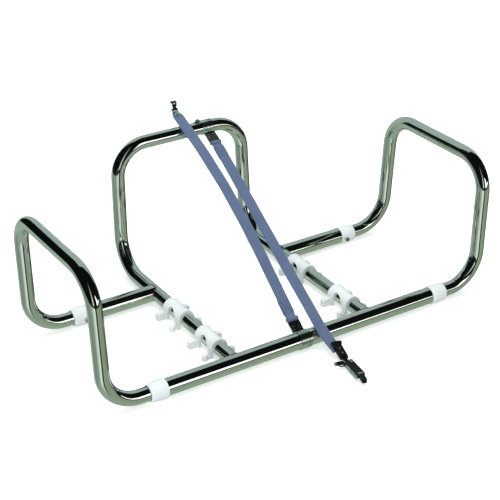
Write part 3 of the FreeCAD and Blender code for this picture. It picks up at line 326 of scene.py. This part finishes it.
def finish_cad_nodes():
    """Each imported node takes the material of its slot."""
    slots = {part["node"]: part["material_slot"] for part in frame["record"]["subparts"]}
    for name, piece in frame["nodes"].items():
        piece.data.materials.clear()
        piece.data.materials.append(MATERIALS[slots[name]])


finish_cad_nodes()


# ---------------------------------------------------------------- camera
CAMERA_PLACE = (-1.1397, -1.73554, 1.2392)
CAMERA_HEADING = -33.03
CAMERA_DIP = 28.32
CAMERA_ROLL = 0.24
CAMERA_LENS = 95.32
SENSOR_WIDTH = 36.0


def make_camera():
    data = bpy.data.cameras.new("camera")
    data.sensor_width = SENSOR_WIDTH
    data.lens = CAMERA_LENS
    data.clip_end = 50.0
    camera = bpy.data.objects.new("camera", data)
    bpy.context.scene.collection.objects.link(camera)
    turn = Matrix.Rotation(math.radians(CAMERA_HEADING), 4, "Z")
    turn = turn @ Matrix.Rotation(math.radians(90.0 - CAMERA_DIP), 4, "X")
    turn = turn @ Matrix.Rotation(math.radians(CAMERA_ROLL), 4, "Z")
    camera.matrix_world = Matrix.Translation(CAMERA_PLACE) @ turn
    bpy.context.scene.camera = camera


make_camera()


# ---------------------------------------------------------------- mesh helpers
def add_object(name, mesh, material, body=None):
    """Smooth-shaded object, which rides on the body if one is named."""
    piece = bpy.data.objects.new(name, mesh)
    bpy.context.scene.collection.objects.link(piece)
    mesh.materials.append(material)
    for face in mesh.polygons:
        face.use_smooth = True
    if body is not None:
        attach(piece, body)
    return piece


def rod_into(mesh, points, radii, sides, closed):
    """Adds a round rod through the points, with a radius at each, to the mesh."""
    count = len(points)
    rings = []
    normal = None
    for index, point in enumerate(points):
        before = points[(index - 1) % count] if closed or index > 0 else point
        after = points[(index + 1) % count] if closed or index < count - 1 else point
        ahead = (after - before).normalized()
        if normal is None:
            normal = ahead.orthogonal().normalized()
        normal = (normal - ahead * normal.dot(ahead)).normalized()
        side = ahead.cross(normal)
        ring = []
        for k in range(sides):
            turn = 2.0 * math.pi * k / sides
            offset = normal * math.cos(turn) + side * math.sin(turn)
            ring.append(mesh.verts.new(point + offset * radii[index]))
        rings.append(ring)
    last = count if closed else count - 1
    for index in range(last):
        ring, after = rings[index], rings[(index + 1) % count]
        for k in range(sides):
            mesh.faces.new((ring[k], ring[(k + 1) % sides], after[(k + 1) % sides], after[k]))
    if not closed:
        mesh.faces.new(rings[0])
        mesh.faces.new(rings[-1])


def finished(mesh, name):
    """Mesh data with its faces turned outwards."""
    data = bpy.data.meshes.new(name)
    bmesh.ops.recalc_face_normals(mesh, faces=mesh.faces)
    mesh.to_mesh(data)
    mesh.free()
    return data


# ---------------------------------------------------------------- weld beads
def centre_of(node):
    low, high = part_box(node)
    return (low + high) / 2.0


front_low, front_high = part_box("front_tube")
CROSS_RADIUS = (front_high.z - front_low.z) / 2.0
AXIS_HEIGHT = (front_high.z + front_low.z) / 2.0
FRONT_LINE = (front_low.y + front_high.y) / 2.0
REAR_LINE = centre_of("rear_stub_left").y
back_low, back_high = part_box("back_hoop")
RAIL_RADIUS = AXIS_HEIGHT - back_low.z
LEG_SPREAD = back_high.x - RAIL_RADIUS
BEAD = 1.1 * MM
BEAD_PITCH = 1.8 * MM
BEAD_RIPPLE = 0.16
BEAD_SIDES = 10
BEAD_STEPS = 220
# least distance of a stub's bead from the leg's middle plane
BEAD_CLEAR = 2.0 * MM


def bead(name, points):
    """Rippled weld bead along a closed line of points."""
    radii = []
    run = 0.0
    for index, point in enumerate(points):
        run += (point - points[index - 1]).length
        ripple = math.sin(2.0 * math.pi * run / BEAD_PITCH)
        radii.append(BEAD * (1.0 + BEAD_RIPPLE * ripple))
    mesh = bmesh.new()
    rod_into(mesh, points, radii, BEAD_SIDES, True)
    add_object(name, finished(mesh, name), WELD, "frame")


def weld_beads():
    """Beads where each leg meets the front tube and each rear stub meets its leg."""
    for side, hand in ((-1, "left"), (1, "right")):
        points = []
        for k in range(BEAD_STEPS):
            turn = 2.0 * math.pi * k / BEAD_STEPS
            z = RAIL_RADIUS * math.sin(turn)
            y = math.sqrt(CROSS_RADIUS ** 2 - z ** 2)
            x = side * LEG_SPREAD + RAIL_RADIUS * math.cos(turn)
            points.append(Vector((x, FRONT_LINE + y, AXIS_HEIGHT + z)))
        bead("weld_front_" + hand, points)
        points = []
        for k in range(BEAD_STEPS):
            turn = 2.0 * math.pi * k / BEAD_STEPS
            z = CROSS_RADIUS * math.sin(turn)
            deep = math.sqrt(max(0.0, RAIL_RADIUS ** 2 - z ** 2))
            x = side * (LEG_SPREAD + max(BEAD_CLEAR, deep))
            y = REAR_LINE + CROSS_RADIUS * math.cos(turn)
            points.append(Vector((x, y, AXIS_HEIGHT + z)))
        bead("weld_rear_" + hand, points)


weld_beads()


# ---------------------------------------------------------------- webbing
# The lashings' lines are in mm in the Y-Z plane: straight runs and arcs from the
# sewn loop on the pin, as in the CAD.
WEB_HALF = 11.0
LOOP_HALF = 9.25
WEB_THICK = 2.0
# gap between the two sewn layers, either side of the line through the pin
SEAM = 0.02
LOOP_RADIUS = 3.3
LOOP_SWEEP = 300.0
LOOP_STEPS = 28
# the folded end runs from FOLD in to FOLD_IN, and the long run starts at RUN_OUT
FOLD = 39.1
FOLD_IN = 6.5
FOLD_STEPS = 20
RUN_OUT = 6.4
LINE_PITCH = 2.0
# length of the change from the loop's width to the whole webbing's
WIDENING = 7.0

# front lashing: its pin and its line's start (Y, Z), its slope there in degrees, and
# its steps: a run has a length, a turn has the radius and the angle of an arc
FRONT_PIN = (-123.553, 41.355)
FRONT_START = (-121.653, 44.001)
FRONT_SLOPE = 36.443
FRONT_STEPS = [("run", 118.918, 0.0), ("turn", 1069.7, -16.5), ("run", 55.487, 0.0)]
# its middle line's X at the pin, and how far it drifts aside for each mm of Y
FRONT_MIDDLE = -4.0
FRONT_DRIFT = 0.03796
FRONT_DRIFT_FROM = -111.6
FRONT_WIDENS_FROM = -118.6
# its end narrows into the hook's plate
TIP_FROM = 285.7
TIP_LENGTH = 14.0
TIP_NARROWING = 0.45

# rear lashing, the same way, but its middle line drifts by REAR_DRIFT in all, over
# REAR_DRIFT_LENGTH of Y, and its stitched box has its own X
REAR_PIN = (225.914, 231.773)
REAR_START = (222.700, 231.238)
REAR_SLOPE = 207.318
REAR_STEPS = [
    ("run", 435.261, 0.0),
    ("turn", 16.3, 0.8),
    ("run", 12.396, 0.0),
    ("turn", 100.0, -12.118),
    ("run", 20.0, 0.0),
]
REAR_MIDDLE = 57.0
REAR_DRIFT = 26.5
REAR_DRIFT_LENGTH = 370.4
REAR_WIDENS_FROM = 213.9
REAR_BOX_MIDDLE = 56.4


def smooth_step(value):
    value = min(1.0, max(0.0, value))
    return value * value * (3.0 - 2.0 * value)


def along_steps(start, angle, steps, pitch):
    """Points about a pitch apart along straight runs and tangent arcs."""
    y, z = start
    heading = math.radians(angle)
    points = [(y, z)]
    for kind, length, turn in steps:
        turn = math.radians(turn)
        if kind == "turn":
            length = length * abs(turn)
        count = max(1, round(length / pitch))
        for _ in range(count):
            heading += 0.5 * turn / count
            y += length / count * math.cos(heading)
            z += length / count * math.sin(heading)
            heading += 0.5 * turn / count
            points.append((y, z))
    return points


def lashing_line(pin, start, angle, steps, hand):
    """Middle line of a lashing: its folded end, the loop round the pin, the long run.

    hand is 1 where the upper face is on the left of the line, and -1 on the right.
    """
    heading = math.radians(angle)
    ahead = (math.cos(heading), math.sin(heading))
    normal = (-hand * ahead[1], hand * ahead[0])

    def spot(out, off):
        return (
            pin[0] + out * ahead[0] + off * normal[0],
            pin[1] + out * ahead[1] + off * normal[1],
        )

    line = []
    for k in range(FOLD_STEPS + 1):
        out = FOLD - (FOLD - FOLD_IN) * k / FOLD_STEPS
        line.append(spot(out, -(0.5 * WEB_THICK + SEAM)))
    for k in range(LOOP_STEPS + 1):
        turn = math.radians(-0.5 * LOOP_SWEEP + LOOP_SWEEP * k / LOOP_STEPS)
        line.append(spot(-LOOP_RADIUS * math.cos(turn), LOOP_RADIUS * math.sin(turn)))
    for y, z in along_steps(start, angle, steps, LINE_PITCH):
        out = (y - pin[0]) * ahead[0] + (z - pin[1]) * ahead[1]
        if out > RUN_OUT:
            line.append((y + SEAM * normal[0], z + SEAM * normal[1]))
    return line


def front_plan(y):
    """Middle and half width of the front lashing at y."""
    middle = FRONT_MIDDLE + FRONT_DRIFT * max(0.0, y - FRONT_DRIFT_FROM)
    widened = smooth_step((y - FRONT_WIDENS_FROM) / WIDENING)
    half = LOOP_HALF + (WEB_HALF - LOOP_HALF) * widened
    tip = (y - TIP_FROM) / TIP_LENGTH
    if tip > 0.0:
        half *= 1.0 - TIP_NARROWING * min(1.0, tip)
    return middle, half


def rear_plan(y):
    """Middle and half width of the rear lashing at y."""
    share = min(1.0, max(0.0, (REAR_WIDENS_FROM - y) / REAR_DRIFT_LENGTH))
    narrowed = smooth_step((y - REAR_WIDENS_FROM) / WIDENING)
    half = WEB_HALF - (WEB_HALF - LOOP_HALF) * narrowed
    return REAR_MIDDLE - REAR_DRIFT * share, half


# places across the webbing, closer together at the rounded selvedges
ACROSS = (-1.0, -0.985, -0.95, -0.88, -0.72, -0.48, -0.24, 0.0)
ACROSS = ACROSS + tuple(-value for value in reversed(ACROSS[:-1]))
# how square the selvedges are: a higher power is squarer
SELVEDGE_POWER = 9

# the webbing's slight unevenness: height, and length over one radian, in mm
WAVE = (0.20, 13.0)
RIPPLE = (0.08, 5.3)
CURL = (0.14, 21.0)
SWAY = (0.12, 17.0)
# it starts and ends this far from the ends, and grows over FADE
EVEN_START = 95.0
EVEN_END = 70.0
FADE = 60.0


def uneven(shape, run, phase):
    """Height of one of these waves at a distance along the webbing."""
    height, length = shape
    return height * math.sin(run / length + phase)


def woven_strap(name, node, body, line, plan, phase):
    """Webbing along a line, with soft selvedges, a slight wave and woven coordinates."""
    lengths = [0.0]
    for before, after in zip(line, line[1:]):
        lengths.append(lengths[-1] + math.dist(before, after))
    total = lengths[-1]
    mesh = bmesh.new()
    layer = mesh.loops.layers.uv.new("strap")
    rings = []
    for index, (y, z) in enumerate(line):
        back = line[max(0, index - 1)]
        front = line[min(len(line) - 1, index + 1)]
        ahead = Vector((front[0] - back[0], front[1] - back[1])).normalized()
        normal = Vector((-ahead.y, ahead.x))
        middle, half = plan(y)
        run = lengths[index]
        fade = smooth_step((run - EVEN_START) / FADE)
        fade *= smooth_step((total - EVEN_END - run) / FADE)
        wave = uneven(WAVE, run, phase) + uneven(RIPPLE, run, 2.0 * phase)
        curl = uneven(CURL, run, 3.0 * phase)
        sway = uneven(SWAY, run, phase) * fade
        ring = []
        for side in (1.0, -1.0):
            places = ACROSS if side > 0.0 else tuple(reversed(ACROSS[1:-1]))
            for place in places:
                square = max(0.0, 1.0 - abs(place) ** SELVEDGE_POWER)
                thick = 0.5 * WEB_THICK * math.sqrt(square)
                off = side * thick + fade * (wave + curl * place * abs(place))
                x = middle + sway + place * half
                point = Vector((x, y + off * normal.x, z + off * normal.y))
                ring.append((mesh.verts.new(point * MM), place * half, run))
        rings.append(ring)
    size = len(rings[0])

    def face(corners):
        made = mesh.faces.new([corner[0] for corner in corners])
        for loop, corner in zip(made.loops, corners):
            loop[layer].uv = (corner[1], corner[2])

    for ring, after in zip(rings, rings[1:]):
        for k in range(size):
            follow = (k + 1) % size
            face((ring[k], ring[follow], after[follow], after[k]))
    face(rings[0])
    face(rings[-1])
    piece = add_object(name, finished(mesh, name), MATERIALS["webbing"], body)
    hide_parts(node)


STITCH_PITCH = 2.7
STITCH_LENGTH = 2.1
# places along a stitch, as shares of its length, and its rise over the webbing there
STITCH_LINE = ((-0.5, -0.20), (-0.3, 0.16), (0.0, 0.24), (0.3, 0.16), (0.5, -0.20))
THREAD_RADIUS = 0.26
THREAD_SIDES = 7


def stitch_rows(name, body, rows, normal):
    """Rows of short raised stitches between pairs of points given in mm."""
    mesh = bmesh.new()
    for start, end in rows:
        start, end = Vector(start), Vector(end)
        ahead = (end - start).normalized()
        count = max(2, round((end - start).length / STITCH_PITCH))
        for k in range(count):
            middle = start + (end - start) * ((k + 0.5) / count)
            points = []
            radii = []
            for place, rise in STITCH_LINE:
                point = middle + ahead * (place * STITCH_LENGTH) + normal * rise
                points.append(point * MM)
                radii.append(THREAD_RADIUS * MM)
            rod_into(mesh, points, radii, THREAD_SIDES, False)
    piece = add_object(name, finished(mesh, name), THREAD, body)


def sewn_box(pin, angle, hand, x):
    """Rows of a stitched box with its cross, on the upper face beside the loop."""
    heading = math.radians(angle)
    ahead = Vector((0.0, math.cos(heading), math.sin(heading)))
    normal = Vector((0.0, -hand * ahead.z, hand * ahead.y))
    base = Vector((x, pin[0], pin[1])) + normal * (WEB_THICK + SEAM)

    def spot(across, out):
        return base + Vector((across, 0.0, 0.0)) + ahead * out

    near, far, edge = 14.0, 35.0, 8.2
    corners = [spot(-edge, near), spot(edge, near), spot(edge, far), spot(-edge, far)]
    rows = [(corners[k], corners[(k + 1) % 4]) for k in range(4)]
    rows.append((corners[0], corners[2]))
    rows.append((corners[1], corners[3]))
    return rows, normal


def front_lashing():
    line = lashing_line(FRONT_PIN, FRONT_START, FRONT_SLOPE, FRONT_STEPS, 1.0)
    woven_strap("front_lashing_webbing", "front_strap", "front_lashing", line, front_plan, 0.7)
    rows, normal = sewn_box(FRONT_PIN, FRONT_SLOPE, 1.0, FRONT_MIDDLE)
    stitch_rows("front_lashing_stitches", "front_lashing", rows, normal)


def rear_lashing():
    line = lashing_line(REAR_PIN, REAR_START, REAR_SLOPE, REAR_STEPS, -1.0)
    woven_strap("rear_lashing_webbing", "rear_strap", "rear_lashing", line, rear_plan, 2.1)
    rows, normal = sewn_box(REAR_PIN, REAR_SLOPE, -1.0, REAR_BOX_MIDDLE)
    stitch_rows("rear_lashing_stitches", "rear_lashing", rows, normal)


front_lashing()
rear_lashing()


# ---------------------------------------------------------------- studio
def card(name, corners, strength, colour=(1.0, 1.0, 1.0)):
    """Reflector seen only in the metal."""
    mesh = bpy.data.meshes.new(name)
    mesh.from_pydata([Vector(c) for c in corners], [], [tuple(range(len(corners)))])
    material = bpy.data.materials.new(name)
    material.use_nodes = True
    nodes = material.node_tree.nodes
    nodes.clear()
    emission = nodes.new("ShaderNodeEmission")
    emission.inputs["Color"].default_value = colour + (1.0,)
    emission.inputs["Strength"].default_value = strength
    output = nodes.new("ShaderNodeOutputMaterial")
    material.node_tree.links.new(emission.outputs["Emission"], output.inputs["Surface"])
    piece = add_object(name, mesh, material)
    piece.visible_camera = False
    piece.visible_diffuse = False
    piece.visible_shadow = False


def lamp(name, place, target, size, power):
    data = bpy.data.lights.new(name, "AREA")
    data.shape = "SQUARE"
    data.size = size
    data.energy = power
    piece = bpy.data.objects.new(name, data)
    bpy.context.scene.collection.objects.link(piece)
    piece.location = place
    piece.rotation_mode = "QUATERNION"
    piece.rotation_quaternion = (Vector(target) - Vector(place)).to_track_quat("-Z", "Y")
    piece.visible_glossy = False


FLOOR_REACH = 9.0
FLOOR_DROP = 0.0004
# light that the floor adds for the camera alone
FLOOR_LIFT = 0.42


def floor():
    """Pale floor: white to the camera, and it keeps the cradle's soft shadow."""
    mesh = bpy.data.meshes.new("floor")
    reach, z = FLOOR_REACH, -FLOOR_DROP
    corners = [(-reach, -reach, z), (reach, -reach, z), (reach, reach, z), (-reach, reach, z)]
    mesh.from_pydata(corners, [], [(0, 1, 2, 3)])
    material = bpy.data.materials.new("floor")
    material.use_nodes = True
    nodes, links = material.node_tree.nodes, material.node_tree.links
    nodes.clear()
    diffuse = nodes.new("ShaderNodeBsdfDiffuse")
    diffuse.inputs["Color"].default_value = (0.86, 0.88, 0.86, 1.0)
    emission = nodes.new("ShaderNodeEmission")
    path = nodes.new("ShaderNodeLightPath")
    lift = nodes.new("ShaderNodeMath")
    lift.operation = "MULTIPLY"
    lift.inputs[1].default_value = FLOOR_LIFT
    links.new(path.outputs["Is Camera Ray"], lift.inputs[0])
    links.new(lift.outputs["Value"], emission.inputs["Strength"])
    both = nodes.new("ShaderNodeAddShader")
    links.new(diffuse.outputs["BSDF"], both.inputs[0])
    links.new(emission.outputs["Emission"], both.inputs[1])
    output = nodes.new("ShaderNodeOutputMaterial")
    links.new(both.outputs["Shader"], output.inputs["Surface"])
    piece = add_object("floor", mesh, material)
    # the metal sees the world's own lower half in its place
    piece.visible_glossy = False


# what the metal sees round the horizon: degrees from +X, then a colour
AROUND = [
    (0.0, (0.070, 0.098, 0.072)),
    (36.0, (0.018, 0.026, 0.020)),
    (55.0, (0.070, 0.092, 0.080)),
    (66.0, (0.330, 0.440, 0.370)),
    (120.0, (0.420, 0.545, 0.460)),
    (150.0, (0.230, 0.310, 0.250)),
    (205.0, (0.300, 0.400, 0.330)),
    (238.0, (0.90, 1.0, 0.94)),
    (252.0, (0.90, 1.0, 0.94)),
    (256.0, (0.010, 0.010, 0.012)),
    (270.0, (0.010, 0.010, 0.012)),
    (275.0, (0.320, 0.420, 0.290)),
    (335.0, (0.290, 0.385, 0.270)),
    (360.0, (0.070, 0.098, 0.072)),
]
STEEP_GROUND = (0.36, 0.465, 0.37)
HORIZON = (0.010, 0.012, 0.012)
SKY = (0.004, 0.005, 0.005)
WINDOW = (0.90, 1.0, 0.96)
# the window's middle, and its half width inside and outside its soft edge
WINDOW_TURN = 246.0 / 360.0
WINDOW_INNER = 6.0 / 360.0
WINDOW_OUTER = 9.0 / 360.0


def room_colour(nodes, links):
    """Dark above; below, a grey-green ground with broad pale and dark sectors."""
    place = nodes.new("ShaderNodeTexCoord")
    split = nodes.new("ShaderNodeSeparateXYZ")
    links.new(place.outputs["Generated"], split.inputs["Vector"])
    angle = math_node(nodes, links, "ARCTAN2", split.outputs["Y"], split.outputs["X"])
    share = math_node(nodes, links, "DIVIDE", angle, 2.0 * math.pi)
    share = math_node(nodes, links, "FRACT", math_node(nodes, links, "ADD", share, 1.0))
    ramp = nodes.new("ShaderNodeValToRGB")
    links.new(share, ramp.inputs["Fac"])
    stops = ramp.color_ramp.elements
    while len(stops) < len(AROUND):
        stops.new(0.5)
    for stop, (degrees, _) in zip(stops, AROUND):
        stop.position = degrees / 360.0
    for stop, (_, colour) in zip(stops, AROUND):
        stop.color = colour + (1.0,)
    steep = remap(nodes, links, split.outputs["Z"], -0.85, -0.60, 1.0, 0.0)
    ground = blend_colours(nodes, links, steep, ramp.outputs["Color"], STEEP_GROUND)
    edge = remap(nodes, links, split.outputs["Z"], -0.17, -0.11, 0.0, 1.0)
    ground = blend_colours(nodes, links, edge, ground, HORIZON)
    # the pale sector goes on upwards as a tall narrow window that fades out
    off = math_node(nodes, links, "SUBTRACT", share, WINDOW_TURN)
    off = math_node(nodes, links, "ABSOLUTE", off)
    window = remap(nodes, links, off, WINDOW_INNER, WINDOW_OUTER, 1.0, 0.0)
    fading = remap(nodes, links, split.outputs["Z"], 0.10, 0.86, 0.9, 0.0)
    window = math_node(nodes, links, "MULTIPLY", window, fading)
    sky = blend_colours(nodes, links, window, SKY, WINDOW)
    above = remap(nodes, links, split.outputs["Z"], -0.03, 0.0, 0.0, 1.0)
    return blend_colours(nodes, links, above, ground, sky)


def world():
    """Pale grey to the camera, a dim room in the metal, soft even light elsewhere."""
    scene_world = bpy.data.worlds.new("studio")
    bpy.context.scene.world = scene_world
    scene_world.use_nodes = True
    nodes, links = scene_world.node_tree.nodes, scene_world.node_tree.links
    nodes.clear()
    path = nodes.new("ShaderNodeLightPath")
    soft = nodes.new("ShaderNodeBackground")
    soft.inputs["Color"].default_value = (0.97, 0.98, 1.0, 1.0)
    soft.inputs["Strength"].default_value = 0.45
    room = nodes.new("ShaderNodeBackground")
    links.new(room_colour(nodes, links), room.inputs["Color"])
    backdrop = nodes.new("ShaderNodeBackground")
    backdrop.inputs["Color"].default_value = (0.8, 0.8, 0.8, 1.0)
    backdrop.inputs["Strength"].default_value = 1.0
    first = nodes.new("ShaderNodeMixShader")
    links.new(path.outputs["Is Glossy Ray"], first.inputs[0])
    links.new(soft.outputs["Background"], first.inputs[1])
    links.new(room.outputs["Background"], first.inputs[2])
    second = nodes.new("ShaderNodeMixShader")
    links.new(path.outputs["Is Camera Ray"], second.inputs[0])
    links.new(first.outputs["Shader"], second.inputs[1])
    links.new(backdrop.outputs["Background"], second.inputs[2])
    output = nodes.new("ShaderNodeOutputWorld")
    links.new(second.outputs["Shader"], output.inputs["Surface"])


def studio():
    world()
    floor()
    lamp("overhead_light", (0.3, 0.3, 2.4), (0.0, 0.0, 0.0), 2.2, 47.0)
    lamp("front_light", (-1.6, -2.0, 1.4), (0.0, 0.0, 0.1), 1.4, 40.0)
    # a tall pale reflector behind and to the right, and a low bright strip in front
    tall = [(-0.35, 1.0, 0.0), (4.0, 1.0, 0.0), (4.0, 1.0, 4.0), (-0.35, 1.0, 4.0)]
    card("back_card", tall, 0.52, (0.78, 1.0, 0.94))
    outline = [(0.8, 0.10), (5.0, 0.25), (5.0, 0.50), (2.1, 0.6), (1.2, 1.5), (0.8, 1.5)]
    card("front_strip", [(x, -3.0, z) for x, z in outline], 2.0)


studio()

bpy.context.scene.view_settings.view_transform = "Standard"
